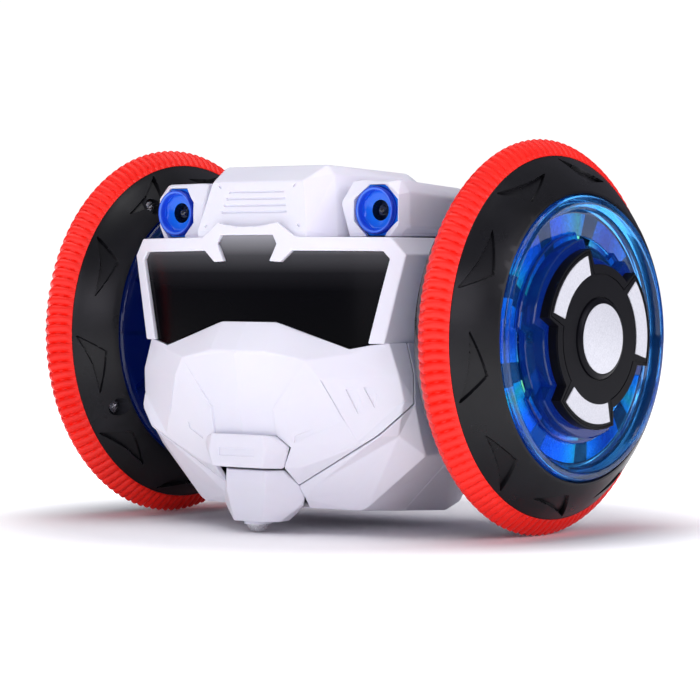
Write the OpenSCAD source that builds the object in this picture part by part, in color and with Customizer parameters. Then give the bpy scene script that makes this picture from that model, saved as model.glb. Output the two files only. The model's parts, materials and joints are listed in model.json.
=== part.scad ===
/* [Wheels] */
// Outer radius of the rubber tread rings; the axles sit this high
wheel_r = 95; // [92:0.5:98]
// Distance from the middle of the robot to the middle of each wheel
wheel_x = 118.4; // [118:0.2:121]
// Width of the rubber tread ring at its foot
ring_w = 17.4; // [15:0.2:18]
// Radius of the drive axle
axle_r = 3; // [2.5:0.1:3]

/* [Body shells] */
// Set-back of the joint between the front shells and the rear shell
seam_y = -20; // [-22:0.5:-19]
// Rearmost point of the rear shell
rear_y = 58; // [54:1:64]
// Radius of the bent visor glass
visor_r = 240; // [238:0.5:240.5]

/* [Gear train] */
// Gear module
gear_m = 0.8; // [0.77:0.01:0.8]
// Sideways position of the inner gearbox plate
plate_x = 48.5; // [48:0.1:49]

/* [Foot] */
// Radius of the steel ball under the chin
ball_r = 6; // [5.5:0.1:6]
// Distance of the ball in front of the axle
ball_y = 71; // [70.5:0.1:71.5]

/* [Switch] */
// Travel of the power slider
switch_travel = 4; // [3:0.5:4]

/* [Hidden] */

$fn = 96;
axle_z = wheel_r;
eps = 0.01;
gap = 0.3;
white = [0.95, 0.95, 0.97];
blue = [0.05, 0.25, 0.95, 0.7];
black = [0.07, 0.07, 0.08];

// Mirror a point across the middle of the robot
function flip(p) = [-p.x, p.y, p.z];
// Move a point towards c, by the share k along each axis
function toward(p, c, k) = [for (i = [0:2]) c[i] + (p[i] - c[i]) * k[i]];
// Triangles of one facet, fanned out from its first corner
function fan(f) = [for (i = [1:len(f) - 2]) [f[0], f[i], f[i + 1]]];
function reversed(f) = [for (i = [len(f) - 1:-1:0]) f[i]];
function raised(f, n) = [for (i = f) i + n];

// Solid hull of a list of points and its mirror image
module hull_of(points) {
    all_points = concat(points, [for (p = points) flip(p)]);
    hull()
        polyhedron(points = all_points, faces = [[for (i = [0:len(all_points) - 1]) i]]);
}

module hull_right(points) {
    hull()
        polyhedron(points = points, faces = [[for (i = [0:len(points) - 1]) i]]);
}

// Closed sheet of flat facets, mirrored about the middle. The facets are listed clockwise as
// seen from outside, rim is the free edge in the same sense, and the inner skin is the outer
// one drawn towards c.
module facet_sheet(points, facets, rim, c, k) {
    n = len(points);
    inner = [for (p = points) toward(p, c, k)];
    half = concat(points, inner);
    tris = [for (f = facets) for (t = fan(f)) t];
    edges = [for (i = [0:len(rim) - 2]) [rim[i], rim[i + 1]]];
    skin = concat(
        tris,
        [for (t = tris) raised(reversed(t), n)],
        [for (e = edges) each [[e[1], e[0], e[0] + n], [e[1], e[0] + n, e[1] + n]]]
    );
    polyhedron(
        points = concat(half, [for (p = half) flip(p)]),
        faces = concat(skin, [for (f = skin) raised(reversed(f), 2 * n)])
    );
}

// Axes: a child drawn in x, y with its thickness in z is turned to face along +X on the axle
module along_x() {
    rotate([90, 0, 90])
        children();
}

module at_axle(side) {
    translate([0, 0, axle_z])
        rotate([0, 0, side > 0 ? 0 : 180])
            along_x()
                children();
}

// A child drawn in x, z with its thickness along Y
module along_y(from, to) {
    translate([0, to, 0])
        rotate([90, 0, 0])
            linear_extrude(height = to - from)
                children();
}

module both_sides() {
    children();
    mirror([1, 0, 0])
        children();
}

// ---------------------------------------------------------------- head
head_base_z = 144;
lamp = [63.3, -60.8, 155.8];
flange_half = 12;

block_points = [
    [28.6, -71.2, 170.2], [34.5, -76, 146.3], [34.2, -76, head_base_z], [32, -56.4, 178.1],
    [37, -57.5, 173.3], [41.5, -60.5, head_base_z], [45, -8, 171.5], [38, -2, 174.9],
    [34, 22, 166], [42, 24, 160], [50, 40, head_base_z],
];
pod_points = [
    [43.5, -61.2, 159.4], [48, -60.5, head_base_z], [71.8, -59.2, head_base_z], [75.9, -57.8, 149],
    [75.9, -57.8, 163], [69.7, -57.8, 168.9], [46.2, -54.3, 170.5], [73.8, -53, 170.2],
    [77.5, -51.2, 164.3], [77.8, -51.4, 147.6], [74.3, -53, head_base_z], [72, -3.8, 167.1],
    [50, -6, 168.5], [78, 2, 160.6], [78, 4, 146], [75, 4, head_base_z], [74, 10, 154],
    [48, 10, 160], [44, 10, head_base_z],
];
// Vent grooves, as half width and height, and the small slanted dimples round them
slots = [[17.3, 165.1], [18.6, 161.8], [19.7, 158.5], [20.6, 155.3]];
slot_depth = 0.9;
dimples = [[23.8, 168, 55], [29.2, 148.8, -55]];

// Depth of the sloping vent panel at a height
function panel_y(z) = -76 + (z - 146.3) * 4.8 / 23.9;

// Eight-sided bar with flat sides left and right, given by half its width
module octagon(half, height) {
    rotate([0, 0, 22.5])
        cylinder(h = height, r = half / cos(22.5), $fn = 8);
}

module headlight_bore() {
    translate([lamp.x, lamp.y + 14, lamp.z])
        rotate([90, 0, 0])
            octagon(flange_half + 0.3, 30);
}

module head_shell() {
    block_inner = [for (p = block_points) toward(p, [0, -20, 130], [0.94, 0.95, 0.945])];
    pod_inner = [for (p = pod_points) toward(p, [60, -25, 130], [0.86, 0.93, 0.93])];
    color(white)
        difference() {
            union() {
                hull_of(block_points);
                both_sides() hull_right(pod_points);
            }
            hull_of(block_inner);
            both_sides() hull_right(pod_inner);
            translate([0, 0, head_base_z - 20 + eps])
                cube([200, 200, 40 - 2 * eps], center = true);
            both_sides() headlight_bore();
            for (s = slots)
                translate([-s[0], panel_y(s[1]) + slot_depth - 10, s[1] - 0.5])
                    cube([2 * s[0], 10, 1]);
            for (d = dimples)
                both_sides()
                    translate([d[0], panel_y(d[1]) + 0.7, d[1]])
                        rotate([90, d[2], 0])
                            scale([0.55, 1.2, 1])
                                cylinder(h = 10, r = 1.1, $fn = 24);
        }
}

// ---------------------------------------------------------------- visor
// Corners of the right half, as x and height, from the middle of the top downwards
frame_half = [[18.4, 150.2], [29.2, 143.3], [78.8, 142.8], [85.8, 134.6], [75.6, 93.4]];
window_half = [
    [16.5, 144.2], [18.7, 139.9], [14.4, 131.6], [21, 131.2], [27.5, 136.6], [74.8, 136.2],
    [78, 132.6], [67.3, 92.4],
];
pane_half = [
    [16.3, 144], [18.4, 140], [14.1, 131.3], [21.1, 130.9], [27.6, 136.3], [74.7, 135.9],
    [77.7, 132.5], [67, 92.4], [57.8, 90.6], [17.5, 102.9],
];
dip = 1.9;
visor_y = 161.4;
dip_curve = [for (i = [-4:4]) [i * 4.2, 150.1 - dip * cos(i * 20)]];

function mirrored(half) = concat(half, [for (i = [len(half) - 1:-1:0]) [-half[i].x, half[i].y]]);

module visor_band(outer, inner) {
    translate([0, visor_y, 60])
        difference() {
            cylinder(h = 100, r = outer, $fn = 360);
            translate([0, 0, -1])
                cylinder(h = 102, r = inner, $fn = 360);
        }
}

module visor_frame() {
    outline = concat(mirrored(frame_half), dip_curve);
    hollow_half = [for (p = frame_half) [p.x * 0.972, 90 + (p.y - 90) * 0.95]];
    front_r = visor_r + 2;
    color(white)
        difference() {
            intersection() {
                along_y(-90, seam_y - gap) polygon(outline);
                translate([0, visor_y, 60])
                    cylinder(h = 100, r = front_r, $fn = 360);
            }
            // hollow behind the bent front plate
            intersection() {
                along_y(-90, 0) polygon(mirrored(concat(hollow_half, [[72, 80]])));
                translate([0, visor_y, 60])
                    cylinder(h = 100, r = front_r - 3, $fn = 360);
            }
            along_y(-90, -40) polygon(mirrored(concat(window_half, [[67.3, 80]])));
            // the ears stand in front of the head
            translate([-40, visor_y - visor_r + 1, head_base_z - gap])
                cube([80, 80, 20]);
        }
}

module visor() {
    color(black)
        intersection() {
            along_y(-90, -40) polygon(mirrored(pane_half));
            visor_band(visor_r, visor_r - 2.4);
        }
}

// ---------------------------------------------------------------- mask
A0 = [0, -79, 102.5];
A = [17.5, -77.5, 102.5];
B = [58, -72.5, 90];
Bo = [67.5, -68.5, 92];
C = [75.5, -64.7, 93];
P1 = [59, -73.2, 87.8];
G = [39, -82.5, 84.5];
F = [17, -87, 88.5];
F0 = [0, -88.8, 88.5];
K0 = [0, -85.2, 61];
K = [19.7, -83.5, 61];
Rb = [27, -82.2, 60];
L = [20, -80.5, 48];
L0 = [0, -81.7, 48];
H = [46, -80, 75.7];
D = [81, -64, 77.5];
E = [82.4, -62, 66];
X = [55.5, -73, 56.5];
J1 = [60.5, -69.8, 45.8];
S = [72, -68.5, 49.5];
T = [82, -64, 59];
Z = [84.5, -57, 64.5];
J2 = [44, -72.7, 37.7];
J3 = [31, -75.3, 33];
U = [23.5, -68.3, 23.7];
M1 = [27, -78.6, 42.7];
M2 = [22.3, -78, 32.5];
Cb = [77, -53, 93];
Db = [82, -54, 77.5];
Eb = [84, -56.5, 66];
Kr = [19.2, -82.6, 61.2];
Lr = [19.6, -79.6, 48];

mask_points = [
    A0, A, B, Bo, C, P1, G, F, F0, K0, K, Rb, L, L0, H, D, E, X, J1, S, T, Z, J2, J3, U, M1, M2,
    Cb, Db, Eb, Kr, Lr,
];
mask_facets = [
    [0, 1, 7, 8], [1, 2, 5, 6, 7], [5, 2, 3, 4, 15, 14, 6], [8, 7, 6, 30, 9], [9, 30, 31, 13],
    [30, 6, 10], [30, 10, 12, 31], [6, 14, 11, 10], [10, 11, 25, 12], [25, 11, 14, 17, 18, 22],
    [25, 22, 23, 26], [14, 15, 16, 18, 17], [16, 20, 19, 18], [22, 18, 19, 24, 23],
    [26, 23, 24], [4, 27, 28, 15], [15, 28, 29, 16], [16, 29, 21, 20],
];
mask_rim = [0, 1, 2, 3, 4, 27, 28, 29, 21, 20, 19, 24, 26, 25, 12, 31, 13];

module mask_sheet() {
    facet_sheet(mask_points, mask_facets, mask_rim, [0, -50, 65], [0.97, 0.93, 0.96]);
}

// Shallow recess: the sheet is cut to the given depth inside an outline in x and height
module recess(outline, back, depth) {
    difference() {
        along_y(-92, back) polygon(outline);
        translate([0, depth, 0]) mask_sheet();
    }
}

module face_mask() {
    vents = [
        [[56.9, 71], [61.2, 71.4], [65.4, 61.4], [61.5, 59.5]],
        [[64.9, 72], [69.1, 72.4], [72.4, 64.1], [69.1, 62.3]],
    ];
    mark = [[28.8, 44.6], [39.8, 49.4], [40.3, 52.6], [29.6, 48]];
    color(white)
        difference() {
            mask_sheet();
            recess(vents[0], -70.5, 0.8);
            recess(vents[1], -67.5, 0.8);
            recess(mark, -75.8, 0.5);
            mirror([1, 0, 0]) recess(mark, -75.8, 0.5);
        }
}

module mouthpiece() {
    front = [[16, -87, 48.2], [18, -86.6, 40], [15.5, -87, 32.6], [21.4, -84, 46.4]];
    sides = [[26.6, -79.6, 42.7], [22, -78.6, 32.3], [19.6, -81.2, 47.6]];
    back = [[18, -77.2, 47], [24, -76.4, 42.7], [21, -76.2, 33]];
    color(white)
        difference() {
            hull_of(concat(front, sides, back));
            translate([-11.3, -92, 37.6])
                cube([22.6, 5.7, 4.1]);
        }
}

// ---------------------------------------------------------------- lower shell
// Named after the mask corner that each one lies against; the r corners are on the rear seam
lower_front_y = seam_y - gap;
floor_fall = 0.065;

// Height of the floor, which falls a little towards the rear
function floor_z(y) = 12.4 - (y + 62) * floor_fall;

lower_points = [
    [23.4, -68, 23.2], [72.3, -68.2, 49], [82.2, -63.7, 58.4], [84.7, -56.6, 64],
    [84.2, -56, 66], [82.2, -53.6, 77.5], [77.2, -52.6, 93], [77, lower_front_y, 93],
    [79, lower_front_y, 77], [81, lower_front_y, 64], [84, -50, 46], [81, lower_front_y, 46],
    [84, -47, 39.2], [80, lower_front_y, 38], [52.8, -52.4, 13.2],
    [50, lower_front_y, floor_z(lower_front_y)], [35, -67.2, 25.4], [78, -60.5, 48.9],
    [46.8, -58, 20.5], [25.2, -65.5, 17], [49.2, -53.2, floor_z(-53.2)],
    [25.2, -62, floor_z(-62)], [0, -62, floor_z(-62)], [0, lower_front_y, floor_z(lower_front_y)],
];
lower_facets = [
    [16, 0, 1, 17], [17, 1, 2, 3, 10], [17, 10, 12, 14, 18, 16], [16, 18, 19, 0],
    [14, 12, 13, 15], [12, 10, 11, 13], [10, 3, 9, 11], [9, 3, 4], [9, 4, 5, 8], [8, 5, 6, 7],
    [18, 14, 20], [19, 18, 20, 21], [20, 14, 15], [21, 20, 15, 23, 22],
];
lower_rim = [22, 21, 19, 0, 1, 2, 3, 4, 5, 6, 7, 8, 9, 11, 13, 15, 23];
door_size = [54, 34.6, 2.2];
door_front_y = -57.9;
door_screw_y = -26.2;

// Puts a piece on the sloping floor, with the front edge of the door as its zero line
module on_floor() {
    translate([0, door_front_y, floor_z(door_front_y)])
        rotate([-atan(floor_fall), 0, 0])
            children();
}

module at_door_screw() {
    on_floor()
        translate([0, (door_screw_y - door_front_y) / cos(atan(floor_fall)), 0])
            children();
}

module lower_shell() {
    color(white)
        difference() {
            facet_sheet(lower_points, lower_facets, lower_rim, [0, lower_front_y, 70],
                        [0.97, 0.94, 0.955]);
            on_floor()
                translate([-(door_size.x + gap) / 2, -gap / 2, -2])
                    cube(door_size + [gap, gap, 6]);
        }
}

module battery_door() {
    color(white)
        difference() {
            on_floor()
                translate([-door_size.x / 2, 0, 0])
                    cube(door_size);
            at_door_screw() {
                translate([0, 0, -1])
                    cylinder(h = 6, r = 1.7);
                translate([0, 0, -1])
                    cylinder(h = 2, r = 2.6);
            }
        }
}

// Pan-head screw with a cross slot, head down at the origin
module screw(head_r, head_h, shank_r, length) {
    difference() {
        union() {
            cylinder(h = head_h, r = head_r);
            translate([0, 0, head_h])
                cylinder(h = length, r = shank_r);
        }
        for (a = [0, 90])
            rotate([0, 0, a])
                translate([-head_r * 0.6, -head_r * 0.12, -eps])
                    cube([head_r * 1.2, head_r * 0.24, head_h * 0.5]);
    }
}

module door_screw() {
    color("silver")
        at_door_screw()
            translate([0, 0, 0.1])
                screw(2.4, 0.9, 1.4, 11);
}

// ---------------------------------------------------------------- chin and foot
collar_z = 4.3;
collar_top = 7.4;
collar_r = 6.8;

module chin_flap() {
    corners = [
        [18.1, -73.2, 31], [12, -80, 30.6], [12, -80.2, 20.5], [23.2, -67.9, 23.6],
        [25, -66, 17], [24.3, -67.7, 13.9], [14.5, -72.2, 5.8], [9, -78.4, 5.8],
        [17, -66, 31], [22, -63, 22], [22, -63, 13], [13, -63, 5.8], [17, -63, 28],
    ];
    color(white)
        difference() {
            hull_of(corners);
            translate([0, -ball_y, ball_r])
                sphere(r = ball_r + 0.2);
            translate([0, -ball_y, -1])
                cylinder(h = collar_top + 1.1, r = collar_r + 0.1);
        }
}

// Collar that is pressed into the flap and keeps the ball in
module ball_retainer() {
    color(white)
        translate([0, -ball_y, 0])
            difference() {
                translate([0, 0, collar_z])
                    cylinder(h = collar_top - collar_z, r = collar_r);
                translate([0, 0, ball_r])
                    sphere(r = ball_r + 0.15);
            }
}

module foot_ball() {
    color("silver")
        translate([0, -ball_y, ball_r])
            sphere(r = ball_r);
}

// ---------------------------------------------------------------- rear shell
upper_rear = [
    [78.8, seam_y, 142.8], [85.8, seam_y, 134.6], [75.6, seam_y, 93.4], [0, seam_y, 142.8],
    [80, 18, 142.8], [85, 18, 132], [75.6, 20, 93.4], [56, rear_y - 8, 138],
    [60, rear_y - 4, 120], [58, rear_y, 93.4],
];
lower_rear = [
    [77, seam_y, 93.4], [79, seam_y, 77], [81, seam_y, 64], [81, seam_y, 46], [80, seam_y, 38],
    [50, seam_y, floor_z(seam_y)], [77, 18, 93.4], [79, 16, 66], [76, 14, 42],
    [46, 20, floor_z(20)], [44, 34, 10.4],
    [58, rear_y, 93.4], [60, rear_y - 2, 64], [46, rear_y - 10, 34], [36, rear_y - 22, 18],
];
rear_screws = [[44, 112], [38, 56]];
switch_at = [0, rear_y, 78];

module rear_shell() {
    upper_inner = [for (p = upper_rear) toward(p, [0, seam_y, 93.4], [0.965, 0.965, 0.94])];
    lower_inner = [for (p = lower_rear) toward(p, [0, seam_y, 93.4], [0.965, 0.965, 0.965])];
    upper_open = [for (p = upper_inner) p.y < seam_y + 1 ? [p.x, seam_y - 1, p.z] : p];
    lower_open = [for (p = lower_inner) p.y < seam_y + 1 ? [p.x, seam_y - 1, p.z] : p];
    color(white)
        difference() {
            union() {
                hull_of(upper_rear);
                hull_of(lower_rear);
            }
            hull_of(upper_open);
            hull_of(lower_open);
            // hub openings
            translate([-100, 0, axle_z])
                rotate([0, 90, 0])
                    cylinder(h = 200, r = 9);
            for (s = rear_screws)
                both_sides()
                    translate([s[0], rear_y + 5, s[1]])
                        rotate([90, 0, 0])
                            cylinder(h = 30, r = 3.4);
            // slider slot
            translate(switch_at - [4.6, 12, 2.2])
                cube([9.2, 20, 4.4]);
        }
}

module power_switch() {
    color(black)
        translate(switch_at + [-switch_travel / 2, 0, 0]) {
            translate([-2.4, -5, -1.9])
                cube([4.8, 6, 3.8]);
            translate([-3.8, -7.4, -3.4])
                cube([7.6, 2.4, 6.8]);
        }
}

module body_screws() {
    color("silver")
        for (s = rear_screws)
            both_sides()
                translate([s[0], 47, s[1]])
                    rotate([90, 0, 0])
                        screw(2.9, 2, 1.45, 12);
}

// ---------------------------------------------------------------- drive
pinion_t = 10;
big_t = 40;
small_t = 12;
output_t = 48;
idler_dir = 230;
motor_dir = 206;
idler_at = gear_m * (small_t + output_t) / 2 * [cos(idler_dir), sin(idler_dir)] + [0, axle_z];
motor_at = gear_m * (pinion_t + big_t) / 2 * [cos(motor_dir), sin(motor_dir)] + idler_at;
plate_w = 2.4;
cover_x = 66.4;
pin_r = 1;
shaft_r = 1;
bush_r = 5;
run_gap = 0.05;
addendum = 0.75;
dedendum = 1.25;

// Tooth flank corners, as shares of the pitch and of the module
tooth = [[-0.27, -dedendum], [-0.12, addendum], [0.12, addendum], [0.27, -dedendum]];
function gear_points(teeth, turn) = [
    for (i = [0:teeth - 1]) for (k = tooth)
        let (a = turn + (i + k[0]) * 360 / teeth, r = gear_m * (teeth / 2 + k[1]))
            [r * cos(a), r * sin(a)]
];

module gear(teeth, turn, from, width) {
    translate([0, 0, from])
        linear_extrude(height = width)
            polygon(gear_points(teeth, turn));
}

// Drawn for one side: local x is Y of the robot, local y is height, local z is outwards.
// On the left side the train is the mirror image of the right one.
module drive_side(side) {
    mirror([side > 0 ? 0 : 1, 0, 0])
        along_x()
            children();
}

module pinion(side) {
    color("white")
        drive_side(side)
            translate(concat(motor_at, 0))
                difference() {
                    gear(pinion_t, motor_dir + 180, 51.4, 6);
                    cylinder(h = 200, r = shaft_r + run_gap);
                }
}

module idler_gear(side) {
    color("ivory")
        drive_side(side)
            translate(concat(idler_at, 0))
                difference() {
                    union() {
                        gear(big_t, motor_dir + 180 / big_t, 52.4, 3.6);
                        gear(small_t, idler_dir + 180, 56, 6.4);
                        translate([0, 0, 51.2])
                            cylinder(h = 1.2, r = 2.4);
                    }
                    cylinder(h = 200, r = pin_r + run_gap);
                }
}

module output_gear(side) {
    color("ivory")
        drive_side(side)
            translate([0, axle_z, 0])
                difference() {
                    union() {
                        gear(output_t, idler_dir + 180 / output_t, 57, 5);
                        translate([0, 0, 62])
                            cylinder(h = 3, r = 6);
                    }
                    cylinder(h = 200, r = axle_r);
                }
}

module axle(side) {
    color("silver")
        at_axle(side)
            translate([0, 0, 46])
                cylinder(h = 78, r = axle_r);
}

module motor(side) {
    color([0.7, 0.7, 0.72])
        drive_side(side)
            translate(concat(motor_at, 0)) {
                translate([0, 0, plate_x - 30.5])
                    cylinder(h = 30.2, r = 12);
                translate([0, 0, plate_x - 0.3])
                    cylinder(h = 2, r = 3);
                translate([0, 0, plate_x - 33])
                    cylinder(h = 2.5, r = 4);
                translate([0, 0, plate_x + 1.7])
                    cylinder(h = 7, r = shaft_r);
            }
}

module idler_pins() {
    color("silver")
        for (side = [1, -1])
            drive_side(side)
                translate(concat(idler_at, plate_x))
                    cylinder(h = cover_x + plate_w - plate_x, r = pin_r);
}

module axle_bushes() {
    color("goldenrod")
        for (side = [1, -1], x = [plate_x, cover_x])
            drive_side(side)
                translate([0, axle_z, x])
                    difference() {
                        cylinder(h = plate_w, r = bush_r);
                        translate([0, 0, -1])
                            cylinder(h = plate_w + 2, r = axle_r + 0.04);
                    }
}

// ---------------------------------------------------------------- chassis and electrics
deck_z = 47;
cell_r = 7.2;
cell_l = 50;
cell_y = [-51.4, -36.8];
cell_z = [23.4, 38.2];

module chassis() {
    color([0.25, 0.25, 0.28])
        difference() {
            union() {
                // deck and the rear wall with its screw posts
                translate([-68.8, -58, deck_z])
                    cube([137.6, 78.4, 2]);
                translate([-68.8, 18, deck_z + 2])
                    cube([137.6, 2.4, 70]);
                for (s = rear_screws)
                    both_sides()
                        translate([s[0], 45, s[1]])
                            rotate([90, 0, 0])
                                cylinder(h = 25, r = 3.2);
                // gearbox plates, inner and outer on each side
                both_sides()
                    for (x = [plate_x, cover_x])
                        translate([x, -50, deck_z + 2])
                            cube([plate_w, 68, 66]);
                // battery box
                both_sides()
                    translate([26.6, -58, 15.6])
                        cube([1.4, 34, deck_z - 15.6]);
                translate([-28, -24.4, 15.6])
                    cube([56, 1.4, deck_z - 15.6]);
                translate([0, door_screw_y, 15.6])
                    cylinder(h = deck_z - 15.6, r = 2.6);
            }
            at_door_screw()
                cylinder(h = 16, r = 1.4);
            // axle bushes, motor noses and idler pins
            translate([-100, 0, axle_z])
                rotate([0, 90, 0])
                    cylinder(h = 200, r = bush_r);
            both_sides() {
                translate([plate_x - 1, motor_at.x, motor_at.y])
                    rotate([0, 90, 0])
                        cylinder(h = 6, r = 3);
                translate([plate_x - 1, idler_at.x, idler_at.y])
                    rotate([0, 90, 0])
                        cylinder(h = 26, r = pin_r);
                // window in the rear wall for the output gear
                translate([56.4, 0, axle_z])
                    rotate([0, 90, 0])
                        cylinder(h = 6.2, r = gear_m * (output_t / 2 + addendum) + 0.6);
            }
            for (s = rear_screws)
                both_sides()
                    translate([s[0], 60, s[1]])
                        rotate([90, 0, 0])
                            cylinder(h = 27, r = 1.45);
        }
}

module battery_cells() {
    color([0.1, 0.35, 0.25])
        for (y = cell_y, z = cell_z)
            translate([-cell_l / 2, y, z])
                rotate([0, 90, 0])
                    cylinder(h = cell_l, r = cell_r);
}

module battery_contacts() {
    color("gold")
        both_sides()
            for (y = cell_y)
                translate([cell_l / 2 + 0.2, y - 5, cell_z[0] - 5])
                    cube([0.6, 10, cell_z[1] - cell_z[0] + 10]);
}

module circuit_board() {
    color([0.05, 0.4, 0.2])
        translate([-30, 30, 58]) {
            cube([60, 1.6, 50]);
            translate([6, 1.6, 8])
                cube([14, 2.2, 14]);
            translate([36, 1.6, 12])
                cube([10, 1.8, 10]);
            translate([12, 1.6, 32])
                cube([8, 7, 8]);
        }
}

module speaker() {
    color([0.15, 0.15, 0.16])
        translate([0, -55, 159])
            rotate([90, 0, 0]) {
                cylinder(h = 6, r1 = 9, r2 = 12);
                translate([0, 0, 6])
                    cylinder(h = 1.6, r = 12);
                translate([0, 0, -4])
                    cylinder(h = 4, r = 7);
            }
}

// ---------------------------------------------------------------- headlights
cup_r = 10.8;

module lens(side) {
    color(blue)
        translate([side * lamp.x, lamp.y, lamp.z])
            rotate([-90, 0, 0]) {
                rotate_extrude()
                    polygon([
                        [cup_r, 0], [cup_r, 5], [8.4, 5], [4.6, 11], [3.2, 11], [3.2, 9.4],
                        [4.4, 5.4], [9.4, 0],
                    ]);
                difference() {
                    translate([0, 0, 3])
                        octagon(flange_half, 2);
                    translate([0, 0, 2])
                        cylinder(h = 4, r = cup_r - 1);
                }
            }
}

module led(side) {
    color("white")
        translate([side * lamp.x, lamp.y, lamp.z])
            rotate([-90, 0, 0]) {
                translate([0, 0, 7.6])
                    sphere(r = 2.5, $fn = 48);
                translate([0, 0, 7.6])
                    cylinder(h = 5.6, r = 2.5);
                translate([0, 0, 13.2])
                    cylinder(h = 1, r = 3);
            }
}

// ---------------------------------------------------------------- wheels
ring_foot_r = 86.8;
dome_r = [68.2, 86.6];
dome_top = 25;
cap_r = 67.8;
rim_half = ring_w / 2;
post_r = 74.2;
post_angles = [60, 150, 240, 330];
well_floor = 14.5;
head_h = 2;
arc_angles = [133.5, 13.5, -106.5];

// Wheel profiles run from the wheel's middle plane: first number radius, second outwards
module spin(profile) {
    rotate_extrude()
        polygon(profile);
}

// Point on a circle of the wheel
function polar(r, a) = [r * cos(a), r * sin(a)];

module tread_ring(side) {
    height = wheel_r - ring_foot_r;
    half = [for (i = [0:10]) let (u = sin(i * 9))
        [ring_foot_r + height * u, rim_half * pow(1 - pow(u, 1.3), 1 / 1.3)]];
    color("red")
        at_axle(side)
            translate([0, 0, wheel_x])
                spin(concat([[83.4, rim_half - 2], [ring_foot_r, rim_half - 2]], half,
                            [for (i = [9:-1:0]) [half[i][0], -half[i][1]]],
                            [[ring_foot_r, 2 - rim_half], [83.4, 2 - rim_half]]));
}

// Outer line of a dome, bulging a little over the straight cone
function dome_line(inset) = [
    for (i = [0:8]) let (t = i / 8, bulge = 4 * 0.95 * t * (1 - t))
        [dome_r[1] - inset * 0.75 + (dome_r[0] - dome_r[1]) * t + bulge * 0.66,
         rim_half + (dome_top - rim_half) * t + bulge * 0.75 - inset * (0.9 + 0.5 * t)]
];

module dome_shell() {
    skin = dome_line(2.6);
    foot = [[dome_r[1] - 3.4, rim_half - 1.7], [dome_r[1], rim_half - 1.7]];
    spin(concat(foot, dome_line(0), [[dome_r[0], dome_top - 4.6]], [for (i = [7:-1:1]) skin[i]]));
}

module outer_dome(side) {
    color(black)
        at_axle(side)
            translate([0, 0, wheel_x])
                difference() {
                    union() {
                        dome_shell();
                        for (a = post_angles)
                            rotate([0, 0, a])
                                translate([post_r, 0, -4])
                                    cylinder(h = 20, r = 3.6);
                    }
                    for (a = post_angles)
                        rotate([0, 0, a])
                            translate([post_r, 0, -5])
                                cylinder(h = 14, r = 1.4);
                }
}

module inner_dome(side) {
    color(black)
        at_axle(side)
            translate([0, 0, wheel_x])
                mirror([0, 0, 1])
                    difference() {
                        union() {
                            dome_shell();
                            for (a = post_angles)
                                rotate([0, 0, a])
                                    translate([post_r, 0, 4.4])
                                        cylinder(h = 13, r = 5.8);
                        }
                        for (a = post_angles)
                            rotate([0, 0, a])
                                translate([post_r, 0, 0]) {
                                    cylinder(h = 20, r = 1.7);
                                    translate([0, 0, well_floor])
                                        cylinder(h = 12, r = 4.6);
                                }
                    }
}

module wheel_screws(side) {
    color("silver")
        at_axle(side)
            translate([0, 0, wheel_x])
                for (a = post_angles)
                    rotate([0, 0, a])
                        translate([post_r, 0, -well_floor - head_h])
                            screw(3.1, head_h, 1.4, 20);
}

module outer_cap(side) {
    color(blue)
        at_axle(side)
            translate([0, 0, wheel_x])
                spin([
                    [0, 26], [0, 28], [46.6, 28], [47.6, 27], [48.4, 20], [60.4, 20], [62.6, 25.2],
                    [63.8, 26.1], [66.6, 26.1], [cap_r, 25], [cap_r, 20.6], [65.4, 20.6],
                    [64.2, 18], [46.2, 18], [45.6, 26],
                ]);
}

// Inner cover with the hub that is pushed on to the axle
module inner_cap(side) {
    hub_r = 7.6;
    hub_end = wheel_x - 82.6;
    color(blue)
        at_axle(side)
            translate([0, 0, wheel_x])
                mirror([0, 0, 1])
                    difference() {
                        union() {
                            spin([
                                [hub_r - 1, 18], [hub_r - 1, 21], [20, 22], [60.4, 20],
                                [62.6, 24.6], [63.8, 25.5], [66.6, 25.5], [cap_r, 24.4],
                                [cap_r, 20.6], [65.4, 20.6], [64.2, 18],
                            ]);
                            translate([0, 0, -4])
                                cylinder(h = hub_end + 4, r = hub_r);
                            for (i = [0:5])
                                rotate([0, 0, 60 * i])
                                    translate([hub_r - 1, -0.9, 12])
                                        cube([50, 1.8, 7]);
                        }
                        translate([0, 0, -6])
                            cylinder(h = hub_end + 8, r = axle_r);
                    }
}

module glitter_disc(side) {
    color([0.2, 0.8, 0.9])
        at_axle(side)
            translate([0, 0, wheel_x + 16.9])
                difference() {
                    cylinder(h = 0.6, r = 61);
                    translate([0, 0, -1])
                        cylinder(h = 3, r = 44);
                }
}

module lobe(r0, r1, half_in, half_out, a) {
    rotate([0, 0, a])
        polygon(concat(
            [for (i = [-6:6]) polar(r1, i * half_out / 6)],
            [for (i = [6:-1:-6]) polar(r0, i * half_in / 6)]
        ));
}

module hub_badge(side) {
    color(black)
        at_axle(side)
            translate([0, 0, wheel_x + 28]) {
                linear_extrude(height = 5)
                    union() {
                        circle(r = 35.2);
                        for (a = arc_angles)
                            lobe(30, 43.3, 38, 32, a);
                    }
                translate([0, 0, 5])
                    spin([[0, 0], [19.4, 0], [18.2, 1.6], [0, 2.2]]);
            }
}

module silver_inlays(side) {
    color("silver")
        at_axle(side)
            translate([0, 0, wheel_x + 33]) {
                for (a = arc_angles)
                    linear_extrude(height = 0.5)
                        lobe(31, 40.5, 28.5, 28.5, a);
                translate([0, 0, 2.2])
                    spin([[0, 0], [16.4, 0], [16.4, 0.4], [0, 0.6]]);
            }
}

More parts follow.
